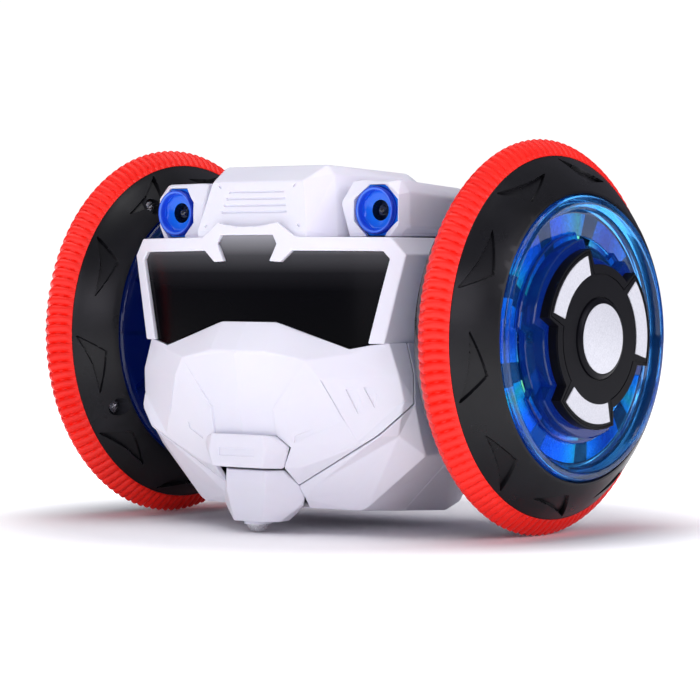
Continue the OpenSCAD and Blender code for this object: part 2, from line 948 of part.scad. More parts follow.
head_shell();
visor_frame();
visor();
face_mask();
mouthpiece();
lower_shell();
chin_flap();
ball_retainer();
rear_shell();
battery_door();
door_screw();
body_screws();
chassis();
battery_cells();
battery_contacts();
circuit_board();
speaker();
power_switch();
foot_ball();
lens(1);  // lens_right
lens(-1);  // lens_left
led(1);  // led_right
led(-1);  // led_left
motor(1);  // motor_right
motor(-1);  // motor_left
idler_pins();
axle_bushes();
pinion(1);  // pinion_right
pinion(-1);  // pinion_left
idler_gear(1);  // idler_gear_right
idler_gear(-1);  // idler_gear_left
axle(1);  // axle_right
axle(-1);  // axle_left
output_gear(1);  // output_gear_right
output_gear(-1);  // output_gear_left
tread_ring(1);  // tread_ring_right
tread_ring(-1);  // tread_ring_left
outer_dome(1);  // outer_dome_right
outer_dome(-1);  // outer_dome_left
inner_dome(1);  // inner_dome_right
inner_dome(-1);  // inner_dome_left
outer_cap(1);  // outer_cap_right
outer_cap(-1);  // outer_cap_left
inner_cap(1);  // inner_cap_right
inner_cap(-1);  // inner_cap_left
glitter_disc(1);  // glitter_disc_right
glitter_disc(-1);  // glitter_disc_left
hub_badge(1);  // hub_badge_right
hub_badge(-1);  // hub_badge_left
silver_inlays(1);  // silver_inlays_right
silver_inlays(-1);  // silver_inlays_left
wheel_screws(1);  // wheel_screws_right
wheel_screws(-1);  // wheel_screws_left
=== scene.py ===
import json
from math import cos, pi, radians, sin

import bmesh
import bpy
import numpy as np
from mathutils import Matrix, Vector
from mathutils.geometry import delaunay_2d_cdt

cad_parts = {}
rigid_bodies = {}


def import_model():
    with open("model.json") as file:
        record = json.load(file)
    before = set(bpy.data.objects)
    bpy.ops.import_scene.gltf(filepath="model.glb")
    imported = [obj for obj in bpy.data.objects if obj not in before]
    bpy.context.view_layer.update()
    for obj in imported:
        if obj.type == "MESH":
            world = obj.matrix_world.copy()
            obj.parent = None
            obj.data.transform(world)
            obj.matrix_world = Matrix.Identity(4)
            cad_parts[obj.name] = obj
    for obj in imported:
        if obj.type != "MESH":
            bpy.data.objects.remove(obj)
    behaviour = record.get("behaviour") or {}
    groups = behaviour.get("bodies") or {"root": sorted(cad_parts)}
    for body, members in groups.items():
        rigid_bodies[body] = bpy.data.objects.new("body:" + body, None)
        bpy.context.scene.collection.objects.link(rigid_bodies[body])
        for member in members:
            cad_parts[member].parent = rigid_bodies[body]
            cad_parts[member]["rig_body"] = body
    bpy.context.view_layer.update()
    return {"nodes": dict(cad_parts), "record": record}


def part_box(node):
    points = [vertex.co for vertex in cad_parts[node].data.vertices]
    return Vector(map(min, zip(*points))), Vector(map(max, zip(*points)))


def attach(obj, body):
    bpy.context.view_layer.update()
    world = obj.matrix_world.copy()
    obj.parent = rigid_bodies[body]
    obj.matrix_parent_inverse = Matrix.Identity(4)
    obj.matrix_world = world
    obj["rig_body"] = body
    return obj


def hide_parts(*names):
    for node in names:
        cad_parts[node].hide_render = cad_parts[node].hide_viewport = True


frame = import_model()
NODES = frame["nodes"]
MM = 0.001

# ------------------------------------------------------------------ sizes, in millimetres
ring_low, ring_high = (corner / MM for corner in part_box("tread_ring_right"))
WHEEL_X = (ring_low.x + ring_high.x) / 2
AXLE_Z = (ring_low.z + ring_high.z) / 2
RING_HALF = (ring_high.x - ring_low.x) / 2
TREAD_R = 95.0
RING_FOOT_R = 86.8
RING_INNER_R = 84.0
DOME_RIM = (86.6, 8.7)
DOME_LIP = (68.3, 25.0)
CAP_R = 67.8
DART_COUNT = 10
WELL_R = 4.6
WELL_CIRCLE_R = 74.2
WELL_FLOOR = 14.5
WELL_SIDES = 24
DART_INNER_R = 74.3
FACE_R = (70.0, 86.0)    # where a dome's face begins and ends
WELL_ANGLES = (60, 150, 240, 330)
LOBE_ANGLES = (133.5, 13.5, -106.5)
FINE = 288               # steps round a dome
RIBS = 120               # cross ribs on a rubber ring
FACET_ANGLE = 3.4        # facets that meet at less than this, in degrees, are shaded as one


# ------------------------------------------------------------------ materials
def material(name, color, roughness, **sockets):
    """A Principled material; sockets are set as constants by their names."""
    mat = bpy.data.materials.new(name)
    mat.use_nodes = True
    shader = mat.node_tree.nodes["Principled BSDF"]
    shader.inputs["Base Color"].default_value = (*color, 1)
    shader.inputs["Roughness"].default_value = roughness
    for socket, value in sockets.items():
        shader.inputs[socket.replace("_", " ")].default_value = value
    return mat


def link(mat, source, target):
    mat.node_tree.links.new(source, target)


def shader_of(mat):
    return mat.node_tree.nodes["Principled BSDF"]


def object_noise(mat, scale, detail=4.0):
    """Noise in the object's own space, so that it sits on the surface."""
    nodes = mat.node_tree.nodes
    coords = nodes.new("ShaderNodeTexCoord")
    noise = nodes.new("ShaderNodeTexNoise")
    noise.inputs["Scale"].default_value = scale
    noise.inputs["Detail"].default_value = detail
    link(mat, coords.outputs["Object"], noise.inputs["Vector"])
    return noise


def ramp(mat, source, stops):
    """A colour ramp; stops are (place, grey or rgb)."""
    node = mat.node_tree.nodes.new("ShaderNodeValToRGB")
    elements = node.color_ramp.elements
    while len(elements) < len(stops):
        elements.new(0.5)
    for element, (place, value) in zip(elements, stops):
        rgb = (value,) * 3 if isinstance(value, float) else value
        element.position = place
        element.color = (*rgb, 1)
    link(mat, source, node.inputs["Fac"])
    return node


def vary_color(mat, scale, low, high):
    """Slow mottling of the base colour between two tones."""
    noise = object_noise(mat, scale)
    tones = ramp(mat, noise.outputs["Fac"], [(0.35, low), (0.65, high)])
    link(mat, tones.outputs["Color"], shader_of(mat).inputs["Base Color"])


def vary_roughness(mat, scale, low, high):
    noise = object_noise(mat, scale)
    tones = ramp(mat, noise.outputs["Fac"], [(0.3, low), (0.7, high)])
    link(mat, tones.outputs["Color"], shader_of(mat).inputs["Roughness"])


def grain(mat, scale, strength, distance):
    """Fine moulded grain as bump."""
    noise = object_noise(mat, scale, detail=2.0)
    bump = mat.node_tree.nodes.new("ShaderNodeBump")
    bump.inputs["Strength"].default_value = strength
    bump.inputs["Distance"].default_value = distance
    link(mat, noise.outputs["Fac"], bump.inputs["Height"])
    link(mat, bump.outputs["Normal"], shader_of(mat).inputs["Normal"])


def white_abs():
    mat = material("white_abs", (0.82, 0.815, 0.9), 0.4, Subsurface_Weight=0.06,
                   Subsurface_Scale=0.004, Specular_IOR_Level=0.45)
    vary_color(mat, 18, (0.81, 0.805, 0.89), (0.835, 0.83, 0.905))
    vary_roughness(mat, 60, 0.34, 0.46)
    grain(mat, 2600, 0.05, 0.0002)
    return mat


def black_satin():
    mat = material("black_satin", (0.005, 0.005, 0.006), 0.4, Specular_IOR_Level=0.22)
    vary_color(mat, 30, (0.004, 0.004, 0.005), (0.008, 0.008, 0.01))
    vary_roughness(mat, 45, 0.26, 0.36)
    grain(mat, 2200, 0.08, 0.0002)
    return mat


def red_rubber():
    mat = material("red_rubber", (0.93, 0.01, 0.003), 0.42, Specular_IOR_Level=0.36)
    vary_color(mat, 40, (0.88, 0.008, 0.002), (0.96, 0.013, 0.004))
    vary_roughness(mat, 90, 0.36, 0.48)
    grain(mat, 1800, 0.12, 0.0003)
    return mat


def blue_clear(name="blue_clear", color=(0.07, 0.42, 1.0)):
    # The faint emission is a painted glow: it brightens the clear blue and throws a little blue
    # light on the body beside it.
    mat = material(name, color, 0.06, Transmission_Weight=0.96, IOR=1.4,
                   Emission_Color=(0.0, 0.1, 1.0, 1), Emission_Strength=0.012)
    vary_color(mat, 25, color, tuple(min(1.0, c * 1.15) for c in color))
    grain(mat, 400, 0.03, 0.0002)
    return mat


def lamp_blue():
    """Blue plastic with painted light: it glows by emission, and a ramp by distance from the
    lens's middle paints it bright inside the cup, with painted dark bands and painted bright rings
    round its rim.
    """
    mat = material("lamp_blue", (0.02, 0.2, 1.0), 0.12, Transmission_Weight=0.3, IOR=1.4,
                   Emission_Strength=0.07)
    nodes = mat.node_tree.nodes
    low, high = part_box("lens_right")
    reach = (high.x - low.x) / 2
    source = nodes.new("ShaderNodeTexCoord").outputs["Object"]
    for operation, value in (("ABSOLUTE", None), ("SUBTRACT", (low + high) / 2),
                             ("MULTIPLY", (1 / reach, 0, 1 / reach)), ("LENGTH", None)):
        step = nodes.new("ShaderNodeVectorMath")
        step.operation = operation
        link(mat, source, step.inputs[0])
        if value:
            step.inputs[1].default_value = value
        source = step.outputs["Value" if operation == "LENGTH" else "Vector"]
    # painted light and shade: bright middle, a dark band, a bright ring, a deep dark band and a
    # bright outer edge, all by distance from the lens's middle
    tones = ramp(mat, source, [
        (0.0, (0.01, 0.26, 1.0)), (0.72, (0.01, 0.18, 0.95)), (0.8, (0.02, 0.09, 0.8)),
        (0.84, (0.12, 0.3, 1.0)), (0.89, (0.06, 0.18, 0.95)), (0.92, (0.004, 0.02, 0.4)),
        (0.955, (0.004, 0.05, 0.45)), (0.99, (0.01, 0.2, 0.9)),
    ])
    link(mat, tones.outputs["Color"], shader_of(mat).inputs["Base Color"])
    # painted glow: the same colours are emitted, so the plastic shines though the lamp is not lit
    link(mat, tones.outputs["Color"], shader_of(mat).inputs["Emission Color"])
    grain(mat, 900, 0.05, 0.0002)
    return mat


def clear_resin():
    mat = material("clear_resin", (0.85, 0.92, 1.0), 0.04, Transmission_Weight=1.0, IOR=1.5)
    grain(mat, 900, 0.02, 0.0001)
    return mat


def visor_gloss():
    """Black glass with a painted reflection: its base colour turns grey towards the top edge,
    standing in for the bright light reflected there.
    """
    mat = material("visor_gloss", (0.002, 0.002, 0.003), 0.16, Specular_IOR_Level=0.05)
    nodes = mat.node_tree.nodes
    coords = nodes.new("ShaderNodeTexCoord")
    split = nodes.new("ShaderNodeSeparateXYZ")
    height = nodes.new("ShaderNodeMapRange")
    low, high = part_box("visor")
    height.inputs["From Min"].default_value = low.z
    height.inputs["From Max"].default_value = high.z
    link(mat, coords.outputs["Object"], split.inputs["Vector"])
    link(mat, split.outputs["Z"], height.inputs["Value"])
    # painted reflection: the colour lightens from black to grey with height
    tones = ramp(mat, height.outputs["Result"], [
        (0.0, (0.0012, 0.0012, 0.0018)), (0.5, (0.002, 0.002, 0.003)),
        (0.66, (0.01, 0.01, 0.012)), (0.82, (0.06, 0.06, 0.065)), (1.0, (0.3, 0.3, 0.32)),
    ])
    link(mat, tones.outputs["Color"], shader_of(mat).inputs["Base Color"])
    return mat


def bright_steel():
    mat = material("bright_steel", (0.78, 0.78, 0.8), 0.2, Metallic=1.0)
    vary_roughness(mat, 900, 0.14, 0.34)
    grain(mat, 1500, 0.12, 0.0002)
    return mat


def silver_foil():
    mat = material("silver_foil", (0.6, 0.61, 0.65), 0.42, Metallic=0.15)
    vary_color(mat, 1500, (0.56, 0.57, 0.61), (0.66, 0.67, 0.71))
    vary_roughness(mat, 700, 0.36, 0.5)
    return mat


def glitter_foil():
    """Foil with painted diffraction colours: broad rays of cyan and green by angle round the
    wheel's centre, fixed in the base colour, and glowing with the same colours as a painted glow.
    """
    mat = material("glitter_foil", (0.1, 0.5, 0.9), 0.3, Metallic=0.4, Emission_Strength=0.25)
    nodes = mat.node_tree.nodes
    coords = nodes.new("ShaderNodeTexCoord")
    split = nodes.new("ShaderNodeSeparateXYZ")
    lift = nodes.new("ShaderNodeMath")
    turn = nodes.new("ShaderNodeMath")
    wave = nodes.new("ShaderNodeMath")
    lift.operation = "SUBTRACT"
    lift.inputs[1].default_value = AXLE_Z * MM
    turn.operation = "ARCTAN2"
    wave.operation = "PINGPONG"
    wave.inputs[1].default_value = pi / 3
    link(mat, coords.outputs["Object"], split.inputs["Vector"])
    link(mat, split.outputs["Z"], lift.inputs[0])
    link(mat, lift.outputs["Value"], turn.inputs[0])
    link(mat, split.outputs["Y"], turn.inputs[1])
    link(mat, turn.outputs["Value"], wave.inputs[0])
    # painted reflection: the rainbow rays a foil shows in the light are set by angle alone
    tones = ramp(mat, wave.outputs["Value"], [
        (0.0, (0.02, 0.12, 0.5)), (0.3, (0.02, 0.35, 0.9)), (0.48, (0.1, 0.9, 0.75)),
        (0.58, (0.25, 1.0, 0.35)), (0.7, (0.05, 0.6, 0.9)), (1.0, (0.02, 0.1, 0.45)),
    ])
    link(mat, tones.outputs["Color"], shader_of(mat).inputs["Base Color"])
    # painted glow: the same colours are emitted
    link(mat, tones.outputs["Color"], shader_of(mat).inputs["Emission Color"])
    vary_roughness(mat, 300, 0.15, 0.4)
    return mat


def plain_moulding(name, color, roughness=0.5):
    mat = material(name, color, roughness)
    vary_color(mat, 60, tuple(c * 0.9 for c in color), tuple(min(1, c * 1.1) for c in color))
    grain(mat, 1500, 0.08, 0.0002)
    return mat


def metal(name, color, roughness=0.3):
    mat = material(name, color, roughness, Metallic=1.0)
    vary_roughness(mat, 300, roughness * 0.8, roughness * 1.3)
    return mat


MATERIALS = {
    "white_shell": white_abs(),
    "visor_black": visor_gloss(),
    "steel": bright_steel(),
    "chassis_plastic": plain_moulding("chassis_plastic", (0.03, 0.03, 0.035)),
    "switch_black": plain_moulding("switch_black", (0.02, 0.02, 0.02)),
    "cell_wrap": plain_moulding("cell_wrap", (0.03, 0.2, 0.12), 0.3),
    "contact_brass": metal("contact_brass", (0.8, 0.58, 0.25)),
    "board_green": plain_moulding("board_green", (0.02, 0.22, 0.08), 0.35),
    "blue_clear": blue_clear(),
    "led_clear": clear_resin(),
    "motor_can": metal("motor_can", (0.66, 0.66, 0.68)),
    "gear_nylon": plain_moulding("gear_nylon", (0.8, 0.79, 0.72)),
    "red_rubber": red_rubber(),
    "black_shell": black_satin(),
    "glitter_foil": glitter_foil(),
    "silver_foil": silver_foil(),
}
# painted shade: dark blue put on the socket inside each headlight cup, where the light does not
# reach
SOCKET_PAINTED_SHADE = plain_moulding("socket_painted_shade", (0.002, 0.012, 0.05), 0.25)
# painted shade: near black put on the walls and floors of the screw wells, where the light does
# not reach
WELL_PAINTED_SHADE = plain_moulding("well_painted_shade", (0.001, 0.0015, 0.006), 0.9)
# Kinds of piece that look different from the rest of their slot: the lens with painted glow and
# painted light and shade, the inner cover as a darker copy of the clear blue painted for shade,
# the badge in its own black
SPECIAL = {
    "lens": lamp_blue(),
    # the inner covers get a darker copy of the clear blue: painted shade for where they sit
    # between body and wheel
    "inner_cap": blue_clear("blue_clear_painted_shade", (0.003, 0.035, 0.17)),
    "hub_badge": plain_moulding("badge_black", (0.004, 0.004, 0.006), 0.3),
}
shader_of(SPECIAL["hub_badge"]).inputs["Specular IOR Level"].default_value = 0.08
SLOT_OF = {part["node"]: part["material_slot"] for part in frame["record"]["subparts"]}


def dress_cad_nodes():
    """Each CAD node gets the material of its slot."""
    for name, obj in NODES.items():
        obj.data.materials.clear()
        obj.data.materials.append(MATERIALS[SLOT_OF[name]])


# ------------------------------------------------------------------ mesh helpers
def new_piece(name, mesh_data, node, smooth_angle=35, shaded=0):
    """An object from (vertices in mm, faces) that stands for a CAD node and rides on its body.

    The last faces, as many as shaded says, get the second material: a dark colour painted on as
    the shade inside a hole.
    """
    verts, faces = mesh_data
    mesh = bpy.data.meshes.new(name)
    mesh.from_pydata([tuple(c * MM for c in v) for v in verts], [], faces)
    for polygon in mesh.polygons[len(faces) - shaded:]:
        polygon.material_index = 1
    bm = bmesh.new()
    bm.from_mesh(mesh)
    bmesh.ops.remove_doubles(bm, verts=bm.verts, dist=1e-6)
    bmesh.ops.recalc_face_normals(bm, faces=bm.faces)
    bm.to_mesh(mesh)
    bm.free()
    return register(name, mesh, node, smooth_angle)


def register(name, mesh, node, smooth_angle):
    mesh.shade_smooth()
    mesh.set_sharp_from_angle(angle=radians(smooth_angle))
    kind = node.rsplit("_", 1)[0]
    mesh.materials.append(SPECIAL.get(kind, MATERIALS[SLOT_OF[node]]))
    # slot 1 holds the painted shade of a hole: dark blue in a headlight's socket, near black in a
    # screw well
    mesh.materials.append(SOCKET_PAINTED_SHADE if kind == "lens" else WELL_PAINTED_SHADE)
    obj = bpy.data.objects.new(name, mesh)
    bpy.context.scene.collection.objects.link(obj)
    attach(obj, NODES[node]["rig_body"])
    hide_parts(node)
    return obj


def softened(node, name, width, small=0.16, limit=5, grow=0.0):
    """A CAD shell with its flat facets joined up and its edges rounded, as a moulding has.

    The edges round the headlights stay sharp, as the walls are thin there.
    """
    bm = bmesh.new()
    bm.from_mesh(NODES[node].data)
    same_place, same_plane = 0.02 * MM, radians(1.2)
    bmesh.ops.remove_doubles(bm, verts=bm.verts, dist=same_place)
    bmesh.ops.dissolve_limit(bm, angle_limit=same_plane, verts=bm.verts, edges=bm.edges)
    if grow:
        bm.normal_update()
        moves = [(v, v.normal * grow * MM) for v in bm.verts]
        for v, move in moves:
            v.co += move
    for offset, segments in ((width * MM, 3), (small * MM, 2)):
        edges = [e for e in bm.edges if has_room(e, offset, limit) and not by_lamp(e)]
        bmesh.ops.bevel(bm, geom=edges, offset=offset, offset_type="OFFSET", segments=segments,
                        profile=0.5, affect="EDGES", clamp_overlap=False, harden_normals=False)
        limit = 28    # the second, finer pass takes only what is still sharp
    bmesh.ops.triangulate(bm, faces=[f for f in bm.faces if len(f.verts) > 4])
    mesh = bpy.data.meshes.new(name)
    bm.to_mesh(mesh)
    bm.free()
    return register(name, mesh, node, FACET_ANGLE)


def has_room(edge, offset, limit):
    """True for a crease whose neighbours are long enough to be rounded by the offset."""
    if not edge.is_manifold or edge.calc_face_angle() < radians(limit):
        return False
    room_needed = 2.6 * offset
    return min(e.calc_length() for v in edge.verts for e in v.link_edges) > room_needed


def by_lamp(edge):
    """True for an edge in the thin wall round a headlight's opening."""
    low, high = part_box("lens_right")
    middle = (edge.verts[0].co + edge.verts[1].co) / 2
    aside, above = abs(middle.x) - (low.x + high.x) / 2, middle.z - (low.z + high.z) / 2
    wall_r = (high.x - low.x) * 0.57
    return middle.y < high.y and np.hypot(aside, above) < wall_r


def on_wheel(side, out, r, a):
    """Point of a wheel, in mm: out from its middle plane, radius and angle in degrees."""
    y, z = r * cos(radians(a)), r * sin(radians(a))
    return (side * (WHEEL_X + out), side * y, AXLE_Z + z)


def revolve(side, profile, steps=FINE, offset=None):
    """Closed ring of a profile [(radius, out), ...] round the axle; offset(i, a) moves a point."""
    verts, faces, n = [], [], len(profile)
    for j in range(steps):
        a = 360 * j / steps
        for i, (r, out) in enumerate(profile):
            dr, dout = offset(i, a) if offset else (0, 0)
            verts.append(on_wheel(side, out + dout, r + dr, a))
    for j in range(steps):
        k = (j + 1) % steps
        for i in range(n - 1):
            faces.append((j * n + i, j * n + i + 1, k * n + i + 1, k * n + i))
    return verts, faces


def closed(profile):
    return list(profile) + [profile[0]]


def join(*parts):
    verts, faces = [], []
    for v, f in parts:
        base = len(verts)
        verts += v
        faces += [tuple(i + base for i in face) for face in f]
    return verts, faces


def rounded(profile, radius, steps=3):
    """Profile with its inner corners cut back by small arcs."""
    out = [profile[0]]
    for before, here, after in zip(profile, profile[1:], profile[2:]):
        p, q, s = (np.array(c, float) for c in (before, here, after))
        reach = min(radius, np.linalg.norm(p - q) * 0.45, np.linalg.norm(s - q) * 0.45)
        start = q + (p - q) / max(np.linalg.norm(p - q), 1e-9) * reach
        end = q + (s - q) / max(np.linalg.norm(s - q), 1e-9) * reach
        for k in range(steps + 1):
            t = k / steps
            out.append(tuple((1 - t) ** 2 * start + 2 * t * (1 - t) * q + t * t * end))
    out.append(profile[-1])
    return out


# ------------------------------------------------------------------ rubber rings
def tread_ring(side, name):
    """Ribbed rubber ring: a rounded ridge section with cross ribs that lean a little."""
    steps, rows = 12, 14      # points per rib, and from the ridge's foot to its crest
    depth, run_in = 1.9, 1.8  # of the grooves, and how far above the foot they are full
    fullness, inset = 1.3, 2  # of the ridge's curve, and of the part inside the wheel
    height = TREAD_R - RING_FOOT_R
    half = []
    for i in range(rows + 1):
        u = sin(radians(90 * i / rows))
        half.append((RING_FOOT_R + height * u, RING_HALF * (1 - u ** fullness) ** (1 / fullness)))
    profile = half + [(r, -out) for r, out in reversed(half[:-1])]
    hidden = RING_HALF - inset
    foot = [(RING_FOOT_R, -hidden), (RING_INNER_R, -hidden), (RING_INNER_R, hidden),
            (RING_FOOT_R, hidden)]
    count = len(profile)
    normals = []
    for i in range(count):
        (r0, o0), (r1, o1) = profile[max(i - 1, 0)], profile[min(i + 1, count - 1)]
        length = np.hypot(r1 - r0, o1 - o0)
        normals.append(((o0 - o1) / length, (r1 - r0) / length))

    def rib(i, a):
        if i >= count:
            return 0, 0
        r, out = profile[i]
        skew = 0.35 * sin(pi * out / RING_HALF)
        crest = abs(sin(radians(RIBS * (a + skew) / 2))) ** 0.5
        sink = depth * (1 - crest) * min(1.0, (r - RING_FOOT_R) / run_in)
        return -sink * normals[i][0], -sink * normals[i][1]

    data = revolve(side, closed(profile + foot), steps=RIBS * steps, offset=rib)
    return new_piece(name, data, "tread_ring_right" if side > 0 else "tread_ring_left", 75)


# ------------------------------------------------------------------ domed covers
def dome_curve():
    """Samples of the dome's outer line as two arrays, radius rising."""
    t = np.linspace(0, 1, 60)
    bulge = 4 * 0.95 * t * (1 - t)
    r = DOME_RIM[0] + (DOME_LIP[0] - DOME_RIM[0]) * t + bulge * 0.66
    out = DOME_RIM[1] + (DOME_LIP[1] - DOME_RIM[1]) * t + bulge * 0.75
    order = np.argsort(r)
    return r[order], out[order]


CURVE_R, CURVE_OUT = dome_curve()


def dome_out(r):
    return float(np.interp(r, CURVE_R, CURVE_OUT))


def inset_polygon(points, distance):
    """Polygon moved inwards by a distance, for points in anticlockwise order."""
    points = [np.array(p, float) for p in points]
    area = sum(p[0] * q[1] - q[0] * p[1] for p, q in zip(points, points[1:] + points[:1]))
    sign = 1 if area > 0 else -1
    moved = []
    for i, here in enumerate(points):
        before, after = points[i - 1], points[(i + 1) % len(points)]
        e1 = (here - before) / np.linalg.norm(here - before)
        e2 = (after - here) / np.linalg.norm(after - here)
        n1, n2 = (sign * np.array([-e[1], e[0]]) for e in (e1, e2))
        middle = n1 + n2
        middle /= np.linalg.norm(middle)
        moved.append(here + middle * distance / max(0.45, float(middle @ n1)))
    return moved


def subdivided(points, step):
    """Closed outline with more points, about a step apart."""
    out = []
    for p, q in zip(points, points[1:] + points[:1]):
        count = max(1, int(np.linalg.norm(q - p) / step))
        out += [p + (q - p) * k / count for k in range(count)]
    return out


def flat_polar(r, a):
    return np.array([r * cos(radians(a)), r * sin(radians(a))])


def well_mouth(middle):
    """Points round a screw well, on the dome's flat plan."""
    return [middle + flat_polar(WELL_R, 360 / WELL_SIDES * k) for k in range(WELL_SIDES)]


def dome_surface(side, flip, darts, wells):
    """Dome face between two rings, with sunken arrow marks and open screw wells."""
    inner_r, outer_r = FACE_R
    rings = [inner_r, 72.5, 75.0, 77.5, 80.0, 82.5, 84.5, outer_r]
    slope_width, spacing = 0.7, 1.2
    coords, edges = [], []

    def add_loop(points):
        base = len(coords)
        coords.extend(Vector(p) for p in points)
        edges.extend((base + k, base + (k + 1) % len(points)) for k in range(len(points)))

    for r in rings:
        points = [flat_polar(r, 360 * k / FINE) for k in range(FINE)]
        if r in (inner_r, outer_r):
            add_loop(points)
        else:
            coords.extend(Vector(p) for p in points)
    outlines = []
    for dart in darts:
        add_loop(subdivided(dart, spacing))
        sunk = subdivided(inset_polygon(dart, slope_width), spacing)
        add_loop(sunk)
        outlines.append(sunk)
    centres = [flat_polar(WELL_CIRCLE_R, a) for a in wells]
    for middle in centres:
        add_loop(well_mouth(middle))
    made = delaunay_2d_cdt(coords, edges, [], 0, 1e-5)
    points, faces = made[0], made[2]
    inside = np.zeros(len(points))
    for sunk in outlines:
        inside = np.maximum(inside, within(points, sunk))
    shallow, deeper = 1.0, 1.4    # a mark's depth at its inner end, and what it gains outwards
    inward = 0.6                  # a mark sinks towards the axle too
    verts = []
    for p, sunken in zip(points, inside):
        r = p.length
        a = np.degrees(np.arctan2(p.y, p.x))
        sink = sunken * (shallow + deeper * (r - DART_INNER_R) / (outer_r - DART_INNER_R))
        verts.append(on_wheel(side, flip * (dome_out(r) - sink), r - inward * sink, a))
    kept, slack = [], 0.05
    for face in faces:
        c = sum((points[i] for i in face), Vector((0, 0))) / len(face)
        if not inner_r - slack < c.length < outer_r + slack:
            continue
        if any(np.hypot(c.x - m[0], c.y - m[1]) < WELL_R * 0.98 for m in centres):
            continue
        kept.append(tuple(face))
    return verts, kept


def within(points, loop):
    """1 for points inside or on a loop, otherwise 0."""
    p = np.array([tuple(q) for q in points])
    poly = np.array(loop)
    hit = np.zeros(len(p), bool)
    near = np.zeros(len(p), bool)
    for a, b in zip(poly, np.roll(poly, -1, axis=0)):
        cross = ((a[1] > p[:, 1]) != (b[1] > p[:, 1]))
        dy = b[1] - a[1] if abs(b[1] - a[1]) > 1e-12 else 1e-12
        hit ^= cross & (p[:, 0] < (b[0] - a[0]) * (p[:, 1] - a[1]) / dy + a[0])
        near |= np.hypot(*(p - a).T) < 1e-4
    return (hit | near).astype(float)


def dome(side, flip, name, node):
    """One cover: the face, rolled edges and an inner skin; the inner cover has screw wells."""
    outer = flip > 0
    inner_r, outer_r = FACE_R
    if outer:
        corners, start = [(80.6, 0), (81.2, 13), (outer_r, 24), (DART_INNER_R, 16.3)], 104
    else:
        corners, start = [(outer_r, 0), (80.8, -10), (80.0, -23), (74.1, -6.7)], 72
    darts = [
        [flat_polar(r, start + a + 360 / DART_COUNT * k) for r, a in corners]
        for k in range(DART_COUNT)
    ]
    wells = () if outer else WELL_ANGLES
    face = dome_surface(side, flip, darts, wells)
    lip = [(inner_r, dome_out(inner_r)), (68.9, 24.3), (68.3, 23.6), (68.1, 22.4), (68.1, 18)]
    skirt = [(outer_r, dome_out(outer_r)), (86.55, 8.9), (86.7, 8.3), (86.7, 7), (83.4, 7)]
    skin = [(83.4, 7), (80.0, dome_out(80.0) - 3), (70.5, dome_out(70.5) - 3), (68.1, 18)]
    parts = [face]
    for profile in (lip, skirt, skin) if outer else (lip, skirt):
        parts.append(revolve(side, [(r, flip * out) for r, out in profile]))
    holes = [screw_well(side, flip, a) for a in wells]
    # the wells' faces come last and get the painted shade
    return new_piece(name, join(*parts, *holes), node, 24, sum(len(f) for v, f in holes))


def screw_well(side, flip, a):
    """Round well from the dome's face down to its floor."""
    middle = flat_polar(WELL_CIRCLE_R, a)
    verts, faces, count = [], [], WELL_SIDES
    for p in well_mouth(middle):
        r, angle = np.hypot(*p), np.degrees(np.arctan2(p[1], p[0]))
        verts.append(on_wheel(side, flip * dome_out(r), r, angle))
        verts.append(on_wheel(side, flip * WELL_FLOOR, r, angle))
    for k in range(count):
        n = (k + 1) % count
        faces.append((2 * k, 2 * n, 2 * n + 1, 2 * k + 1))
    faces.append(tuple(2 * k + 1 for k in range(count)))
    return verts, faces


# ------------------------------------------------------------------ blue covers
def outline_ring(side, outline, levels, cap=True):
    """Stack of one outline, [(radius, angle)], at levels [(out, grow)], closed with flat ends."""
    verts, faces, n = [], [], len(outline)
    for out, grow in levels:
        verts += [on_wheel(side, out, r + grow, a) for r, a in outline]
    for j in range(len(levels) - 1):
        for i in range(n):
            k = (i + 1) % n
            faces.append((j * n + i, j * n + k, (j + 1) * n + k, (j + 1) * n + i))
    if cap:
        faces.append(tuple(range(n)))
        faces.append(tuple((len(levels) - 1) * n + i for i in range(n)))
    return verts, faces


def lobed_outline(inner_r, outer_r, half, lean, steps=8):
    """Round plate with three lobes: radius and angle all the way round."""
    points = []
    for centre in sorted(LOBE_ANGLES):
        for k in range(steps + 1):
            points.append((outer_r, centre - half + 2 * half * k / steps))
        nxt = centre + 120 - half - lean
        first = centre + half + lean
        for k in range(steps * 2 + 1):
            points.append((inner_r, first + (nxt - first) * k / (steps * 2)))
    return points


def outer_cap(side, name, node):
    rim = rounded(closed([
        (CAP_R, 19), (CAP_R, 24.2), (66.9, 26), (63.6, 26), (61.4, 21.4), (59.6, 19.2),
        (48.6, 19.2), (48.6, 17.6), (64.4, 17.6), (65.4, 19),
    ]), 0.5)
    parts = [revolve(side, rim)]
    parts.append(outline_ring(side, lobed_outline(44.6, 50.4, 40, 3), [
        (17.6, 0), (20.8, 0), (21.3, -0.5)]))
    parts.append(outline_ring(side, lobed_outline(38.4, 47.4, 37, 3), [
        (21.3, 0), (26.8, 0), (27.4, -0.6)]))
    return new_piece(name, join(*parts), node, 30)


def inner_cap(side, name, node):
    """Inner cover: rim, webbed floor and the long hub on the axle."""
    rim = rounded(closed([
        (CAP_R, -19), (CAP_R, -23.8), (66.9, -25.4), (63.6, -25.4), (61.6, -21.4), (59.8, -19.4),
        (24, -20.6), (19, -24), (7.6, -35.8), (3.05, -35.8), (3.05, -18), (64.4, -17.6),
        (65.4, -19),
    ]), 0.6)
    parts = [revolve(side, rim, steps=192)]
    for k in range(12):
        parts.append(rib(side, 30 * k))
    return new_piece(name, join(*parts), node, 30)


